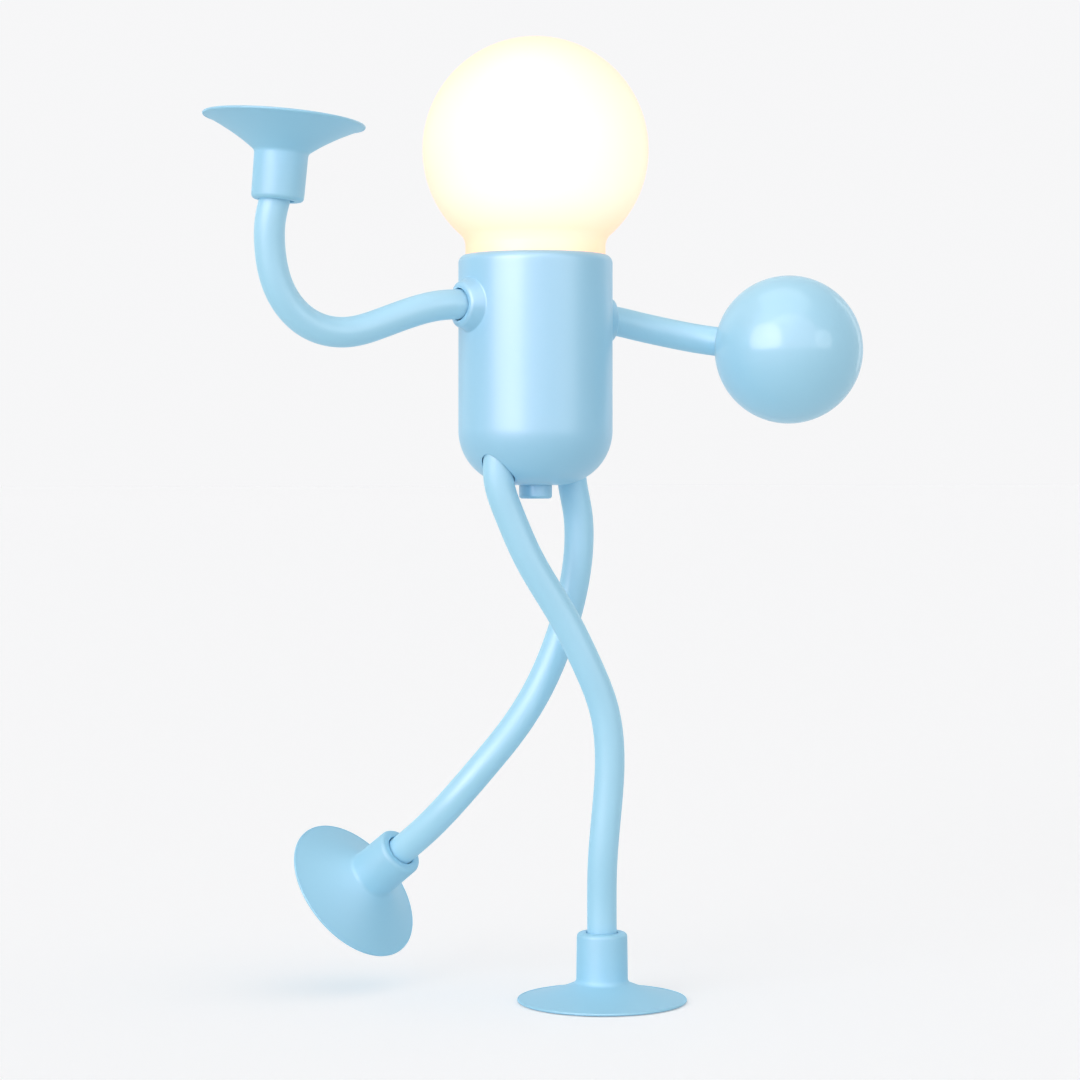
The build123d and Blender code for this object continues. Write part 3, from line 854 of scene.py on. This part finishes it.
# Button: a stub with a rounded face, a flange inside and a stem to the switch
button_outline = rounded(
    [
        (0, button_low, 0),
        (button_radius, button_low, button_round),
        (button_radius, flange_low, 0),
        (button_flange, flange_low, 0.15),
        (button_flange, flange_high, 0.15),
        (stem_radius, flange_high, 0),
        (stem_radius, stem_top, 0.3),
        (0, stem_top, 0),
    ]
)
button_mesh = mesh_of("push_button", *lathe(button_outline, upright, button_around))
button = piece("push_button", button_mesh, torso_abs)
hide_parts("button_cap")
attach(button, "button")


def capped(centre, circles):
    """Circles along a line as one grid, with a flat cap at each end."""
    sides = circles.shape[1]
    caps = [np.repeat(centre[k][None, None], sides, axis=1) for k in (0, -1)]
    points = np.concatenate([caps[0], circles, caps[1]])
    return points.reshape(-1, 3), grid_faces(len(points), sides)


def coil(mean_radius, wire, turns, low, high):
    """Round wire along a helix: point(s, a) = helix(s) + wire (cos a outward + sin a across)."""
    turn = np.linspace(0, 2 * math.pi * turns, coil_steps * turns + 1)
    rise = (high - low - 2 * wire) / turn[-1]
    spoke = np.column_stack([np.cos(turn), np.sin(turn), 0 * turn])
    heading = np.column_stack([-mean_radius * np.sin(turn), mean_radius * np.cos(turn), rise + 0 * turn])
    across = np.cross(unit(heading), spoke)
    centre = mean_radius * spoke + (low + wire + rise * turn)[:, None] * np.array([0, 0, 1])
    angle = np.linspace(0, 2 * math.pi, coil_sides, endpoint=False)[None, :, None]
    body = centre[:, None] + wire * (np.cos(angle) * spoke[:, None] + np.sin(angle) * across[:, None])
    return capped(centre, body)


# Each spring as a coil of wire between its two end heights
for node, (mean_radius, wire, turns, levels, moving, end) in springs.items():
    name = f"{node}_coil"
    mesh = mesh_of(name, *coil(mean_radius, wire, turns, *levels), outward=True)
    spring = piece(name, mesh, spring_steel)
    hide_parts(node)
    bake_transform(spring)

# Globe: sphere, hollow blend and neck outside, sphere and neck inside, as one closed wall
blend_x = neck_radius + neck_blend
blend_y = globe_centre - math.sqrt((globe_radius + neck_blend) ** 2 - blend_x**2)
meet = math.atan2(blend_y - globe_centre, blend_x)
inner_radius = globe_radius - globe_wall
neck_inner = neck_radius - globe_wall
inner_meet = -math.acos(neck_inner / inner_radius)


def swept(x, y, radius, start, end, count):
    """Arc in (radius, height) about a centre, between two angles."""
    angle = np.linspace(start, end, count)
    return np.column_stack([x + radius * np.cos(angle), y + radius * np.sin(angle)])


def closed_on_axis(outline):
    """Outline whose points beside the axis are put on it, so that its poles close."""
    outline[outline[:, 0] < 1e-6, 0] = 0
    return outline


globe_outline = np.vstack(
    [
        [(neck_inner, neck_low), (neck_radius - neck_edge, neck_low), (neck_radius, neck_low + neck_edge)],
        swept(blend_x, blend_y, neck_blend, math.pi, math.pi + meet, 9),
        swept(0, globe_centre, globe_radius, meet, math.pi / 2, 72)[1:],
        swept(0, globe_centre, inner_radius, math.pi / 2, inner_meet, 48),
    ]
)
globe_wall_points = lathe(closed_on_axis(globe_outline), upright, fine_around, closed=True)
globe_mesh = mesh_of("glow_globe", *globe_wall_points)
globe = piece("glow_globe", globe_mesh, globe_plastic)
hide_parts("diffuser_globe")
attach(globe, "head")


def cup(name, limb, body, node, radius, height, hollow, collar):
    """Suction cup: a thin rounded lip, a hollow cone whose side sags by a parabola below its straight
    line, and a collar that grows out of it in a fillet and has a soft mouth."""
    top = height + collar
    floor = top - collar_hole
    root = collar_radius + collar_draft
    run = np.linspace(0, 1, 40)[:, None]
    lip, neck = np.array([radius, lip_thickness]), np.array([root, height - 0.4])
    slope = np.abs(unit(neck - lip))
    cone = lip + run * (neck - lip) - 4 * run * (1 - run) * cone_sag * slope[::-1]
    under = rounded([(2, hollow, 0), (6, hollow, 1.2), (radius - 1.1, 0, 0.25), (radius - 0.4, 0, 0)])
    edge = swept(radius - lip_round, lip_round, lip_round, -math.pi / 2, math.radians(60), 9)
    shape = np.vstack([[(0, hollow), (2, hollow)], under[1:], edge])
    outer = rounded(
        [
            (*cone[1], 0),
            *[(*p, 0) for p in cone[2:-8:2]],
            (root, height - 0.3, collar_fillet),
            (collar_radius, top, collar_round),
            (bore_radius, top, edge_round),
            (bore_radius, floor, 0),
            (pin_radius, floor, 0),
            (pin_radius, floor - pin_length - seat_gap, 0),
            (0, floor - pin_length - seat_gap, 0),
        ]
    )
    mesh = mesh_of(name, *lathe(np.vstack([shape, outer]), ends[limb], fine_around))
    made = piece(name, mesh, cup_silicone)
    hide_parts(node)
    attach(made, body)


relaxed = (cup_radius, cup_height, cup_hollow, collar_length)
pressed = (pressed_radius, pressed_height, pressed_hollow, pressed_collar)
cup("hand_suction_cup", "cup_arm", "hand_body", "hand_cup", *relaxed)
cup("raised_suction_cup", "raised_leg", "raised_foot_body", "raised_foot_cup", *relaxed)
cup("standing_suction_cup", "standing_leg", "standing_foot_body", "standing_foot_cup", *pressed)

# Ball: sphere with a soft-edged hole, and the hollow inside with its boss
hole_floor = ball_mouth - ball_hole
pin_floor = hole_floor - pin_length - seat_gap
inner_ball = ball_radius - ball_wall
lip_angle = math.acos((bore_radius + edge_round) / ball_radius)
ball_outside = np.vstack(
    [
        swept(0, 0, ball_radius, -math.pi / 2, lip_angle, 96),
        rounded(
            [
                (bore_radius + 0.1, ball_mouth - 0.03, 0),
                (bore_radius, ball_mouth - 0.3, 0),
                (bore_radius, hole_floor, 0),
                (pin_radius, hole_floor, 0),
                (pin_radius, pin_floor, 0),
                (0, pin_floor, 0),
            ]
        ),
    ]
)
ball_inside = np.vstack(
    [
        [(0, pin_floor - 1), (ball_boss, pin_floor - 1)],
        swept(0, 0, inner_ball, math.acos(ball_boss / inner_ball), -math.pi / 2, 48),
    ]
)
ball_mesh = mesh_of(
    "ball_hand",
    *joined(
        lathe(closed_on_axis(ball_outside), ends["ball_arm"], fine_around),
        lathe(closed_on_axis(ball_inside), ends["ball_arm"], coarse_around),
    ),
)
ball = piece("ball_hand", ball_mesh, ball_abs)
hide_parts("ball_near_half", "ball_far_half")
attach(ball, "ball_body")


def centre_line(limb):
    """Knots, chord lengths and headings of the limb's centre line: a cubic with continuous curvature
    through the bends, whose end headings are those of the socket and of the end piece."""
    start, heading = sockets[limb]
    origin, _, _, axis = ends[limb]
    knots = np.array([start] + bends[limb] + [origin + axis * end_depths[limb]], float)
    gap = lengths(knots)
    count = len(knots)
    matrix = np.eye(count)
    right = np.zeros((count, 3))
    right[0], right[-1] = heading, -axis
    k = np.arange(1, count - 1)
    matrix[k, k - 1], matrix[k, k + 1] = 1 / gap[:-1], 1 / gap[1:]
    matrix[k, k] = 2 / gap[:-1] + 2 / gap[1:]
    rise = np.diff(knots, axis=0) / gap[:, None] ** 2
    right[1:-1] = 3 * (rise[:-1] + rise[1:])
    return knots, gap, np.linalg.solve(matrix, right)


def along(line, place):
    """Points and headings of a centre line at places given in knots, by Hermite's cubic."""
    knots, gap, slopes = line
    k = np.clip(np.floor(place).astype(int), 0, len(gap) - 1)
    t, h = (place - k)[:, None], gap[k][:, None]
    a, b, m, n = knots[k], knots[k + 1], slopes[k] * h, slopes[k + 1] * h
    point = (2 * t**3 - 3 * t**2 + 1) * a + (t**3 - 2 * t**2 + t) * m
    point = point + (3 * t**2 - 2 * t**3) * b + (t**3 - t**2) * n
    slope = 6 * (t**2 - t) * (a - b) + (3 * t**2 - 4 * t + 1) * m + (3 * t**2 - 2 * t) * n
    return point, unit(slope)


def places_between(line, low, high, step):
    """Places along a centre line between two knots, about a step apart in millimetres."""
    gap = line[1]
    places = []
    for k in range(math.floor(low), math.ceil(high)):
        first, last = max(k, low), min(k + 1, high)
        count = max(2, math.ceil(gap[k] * (last - first) / step))
        places.append(np.linspace(first, last, count, endpoint=False))
    return np.concatenate(places + [[high]])


def rings(point, heading, radius, sides):
    """Circles across a line: point + radius (cos a u + sin a v), with u and v at right angles to it,
    and u as near to the camera's heading as that allows, so that the circles don't twist."""
    u = unit(view_depth - (heading @ view_depth)[:, None] * heading)
    v = np.cross(heading, u)
    angle = np.linspace(0, 2 * math.pi, sides, endpoint=False)[None, :, None]
    return point[:, None] + radius * (np.cos(angle) * u[:, None] + np.sin(angle) * v[:, None])


def tube(line, low, high, outer, inner, sides):
    """Closed wall of a tube between two places: out along the outer circles and back along the bore's."""
    point, heading = along(line, places_between(line, low, high, sleeve_step))
    outside, inside = rings(point, heading, outer, sides), rings(point, heading, inner, sides)
    points = np.concatenate([outside, inside[::-1]])
    return points.reshape(-1, 3), grid_faces(len(points), sides, closed_rows=True)[:, ::-1]


def rod(line, low, high, radius, sides, before, after):
    """Round wire between two places, with a straight tail at each end where a length is given."""
    point, heading = along(line, places_between(line, low, high, wire_step))
    if before:
        point = np.vstack([point[:1] - heading[:1] * before, point])
        heading = np.vstack([heading[:1], heading])
    if after:
        point = np.vstack([point, point[-1:] + heading[-1:] * after])
        heading = np.vstack([heading, heading[-1:]])
    points, faces = capped(point, rings(point, heading, radius, sides))
    return points, faces[:, ::-1]


def give_between(line, joint):
    """Where the tube starts and stops giving at a joint: the same length each side of its pivot."""
    point, _ = along(line, places_between(line, 0, len(line[1]), fine_step))
    pivot = np.array(joints[joint]["pos_m"]) * 1000 + stand
    nearest = np.argmin(np.linalg.norm(point - pivot, axis=1))
    steps = lengths(point)
    travel = np.concatenate([[0], np.cumsum(steps)]) - steps[:nearest].sum()
    first, last = np.searchsorted(travel, [-give[joint], give[joint]])
    last = min(last, len(point) - 1)
    return metres(point[first]), metres(point[last])


def bend_with(made):
    """Puts a piece's place into its mesh, where no body carries it."""
    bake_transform(made)


# Limbs: a sleeve for each span, and the wire inside
for limb, limb_spans in spans.items():
    line = centre_line(limb)
    finish_place = len(line[1])
    low = 0
    for span, last, joint in limb_spans:
        high = finish_place if last is None else last + 1
        node = f"{limb}_{span}"
        name = f"{node}_sleeve"
        mesh = mesh_of(name, *tube(line, low, high, tube_radius, wire_bore, sleeve_sides))
        sleeve = piece(name, mesh, tube_silicone)
        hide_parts(node)
        if joint:
            bend_with(sleeve)
        else:
            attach(sleeve, nodes[node]["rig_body"])
        low = high

    # The wire inside is parted halfway along the spans between the joints that it crosses
    bending = list(dict.fromkeys(joint for _, _, joint in limb_spans if joint))
    stations = places_between(line, 0, finish_place, fine_step)
    point, _ = along(line, stations)
    limits = [0]
    for before, after in zip(bending, bending[1:]):
        a = give_between(line, before)[1] * 1000 + stand
        b = give_between(line, after)[0] * 1000 + stand
        limits.append(stations[np.argmin(np.linalg.norm(point - (a + b) / 2, axis=1))])
    limits.append(finish_place)
    for k, joint in enumerate(bending):
        name = f"{limb}_wire_{k + 1}"
        before = wire_grip if k == 0 else 0
        after = wire_grip - seat_gap if k == len(bending) - 1 else 0
        body = rod(line, limits[k], limits[k + 1], wire_radius, wire_sides, before, after)
        wire = piece(name, mesh_of(name, *body), armature_wire)
        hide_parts(f"{limb}_wire")
        bend_with(wire)

# The camera stands a little aside, so that the torso's axis falls on its column of the picture
offset = (picture / 2 - axis_column) * view_distance / focal_pixels
eye = offset * view_right - view_distance * view_depth + np.array([0, 0, eye_height])
camera = linked("camera", bpy.data.cameras.new("camera"))
camera.data.sensor_width = sensor
camera.data.lens = sensor * focal_pixels / picture
camera.data.shift_y = (horizon_row - picture / 2) / picture
camera.location = metres(eye)
camera.rotation_euler = (math.pi / 2, 0, -view_turn)
camera.data.clip_start = 0.01
camera.data.clip_end = 200.0
bpy.context.scene.camera = camera
bpy.context.scene.view_settings.view_transform = "Standard"


def seen_share(tree):
    """1 for rays from the camera or off a gloss or glass, 0 for the light that the scene gives."""
    path = add(tree, "ShaderNodeLightPath").outputs
    rays = {0: path["Is Camera Ray"], 1: path["Is Glossy Ray"]}
    first = add(tree, "ShaderNodeMath", rays, operation="MAXIMUM")
    rays = {0: first.outputs[0], 1: path["Is Transmission Ray"]}
    return add(tree, "ShaderNodeMath", rays, operation="MAXIMUM").outputs[0]


# Pale studio: an even world, a weak light overhead and a low soft one at the front left
backdrop_tone = colour("#FEFEFF")
backdrop_level = 0.935
world_level = 0.7
floor_albedo = 0.88
floor_half = 40.0
floor_drop = 0.0002
overhead = 0.12
overhead_tilt = 28
key = 0.9
# What the low key gives a level floor, for each unit of its strength
key_on_floor = 0.257

world = bpy.data.worlds.new("studio")
bpy.context.scene.world = world
tree = emptied(world)
plain = add(tree, "ShaderNodeBackground", {"Color": colour("#FFFFFF"), "Strength": world_level})
shown = add(tree, "ShaderNodeBackground", {"Color": backdrop_tone, "Strength": backdrop_level})
mixed = add(tree, "ShaderNodeMixShader", {0: seen_share(tree), 1: plain.outputs[0], 2: shown.outputs[0]})
add(tree, "ShaderNodeOutputWorld", {"Surface": mixed.outputs[0]})

# Floor: its own light and a glow make up the backdrop's level, and leave room for the shadow
floor_material = bpy.data.materials.new("pale_studio_floor")
tree = emptied(floor_material)
lit = add(tree, "ShaderNodeBsdfDiffuse", {"Color": (floor_albedo, floor_albedo, floor_albedo * 1.01, 1)})
direct = overhead * math.cos(math.radians(overhead_tilt)) + key * key_on_floor
floor_glow = backdrop_level - floor_albedo * (world_level + direct / math.pi)
glow = add(tree, "ShaderNodeEmission", {"Color": backdrop_tone, "Strength": floor_glow})
dark = add(tree, "ShaderNodeEmission", {"Strength": 0.0})
lift = add(tree, "ShaderNodeMixShader", {0: seen_share(tree), 1: dark.outputs[0], 2: glow.outputs[0]})
total = add(tree, "ShaderNodeAddShader", {0: lit.outputs[0], 1: lift.outputs[0]})
add(tree, "ShaderNodeOutputMaterial", {"Surface": total.outputs[0]})
floor_mesh = bpy.data.meshes.new("studio_floor")
corners = [(x * floor_half, y * floor_half, 0) for x, y in ((-1, -1), (1, -1), (1, 1), (-1, 1))]
floor_mesh.from_pydata(corners, [], [(0, 1, 2, 3)])
floor_mesh.materials.append(floor_material)
floor = linked("studio_floor", floor_mesh)
floor.location.z = -floor_drop

figure_middle = (0, 0, 170)
lamp_distance = 1.2


def aim(turn, climb):
    """Unit vector from the object: turn degrees right of the camera and climb degrees up."""
    a, e = math.radians(turn), math.radians(climb)
    level = -view_depth * math.cos(a) + view_right * math.sin(a)
    return level * math.cos(e) + np.array([0, 0, math.sin(e)])


def lamp(name, turn, climb, power, spread=0, size=None, gloss_only=False, tint="#FFFFFF"):
    """Lamp aimed at the middle of the figure: a sun of a spread in degrees, or an upright panel of a
    size in metres. One for gloss alone gives highlights and no other light."""
    data = bpy.data.lights.new(name, "AREA" if size else "SUN")
    data.energy = power
    data.color = colour(tint)[:3]
    if size:
        data.shape = "RECTANGLE"
        data.size, data.size_y = size
    else:
        data.angle = math.radians(spread)
    made = linked(name, data)
    made.visible_diffuse = not gloss_only
    toward = aim(turn, climb)
    made.location = metres(figure_middle) + toward * lamp_distance
    made.rotation_euler = Matrix(np.column_stack(axes_on((0, 0, 0), toward)[1:])).to_euler()


lamp("overhead", 100, 90 - overhead_tilt, overhead, spread=50)
lamp("key_soft_light", -38, 13, key, spread=42)
# Highlights: wide ones at the front left and front, then above, and at the left and right edges
warm_tint = "#FFE8F4"
lamp("key_reflection", -42, 14, 6.6, spread=50, gloss_only=True, tint=warm_tint)
lamp("front_reflection", 0, 10, 6.2, spread=90, gloss_only=True, tint=warm_tint)
lamp("top_reflection", -35, 72, 3.2, spread=70, gloss_only=True)
lamp("left_reflection", -108, 12, 0.9, spread=66, gloss_only=True)
lamp("right_reflection", 52, 12, 1.1, spread=28, gloss_only=True)
lamp("right_strip", 136, 14, 0.8, size=(0.2, 0.9), gloss_only=True)
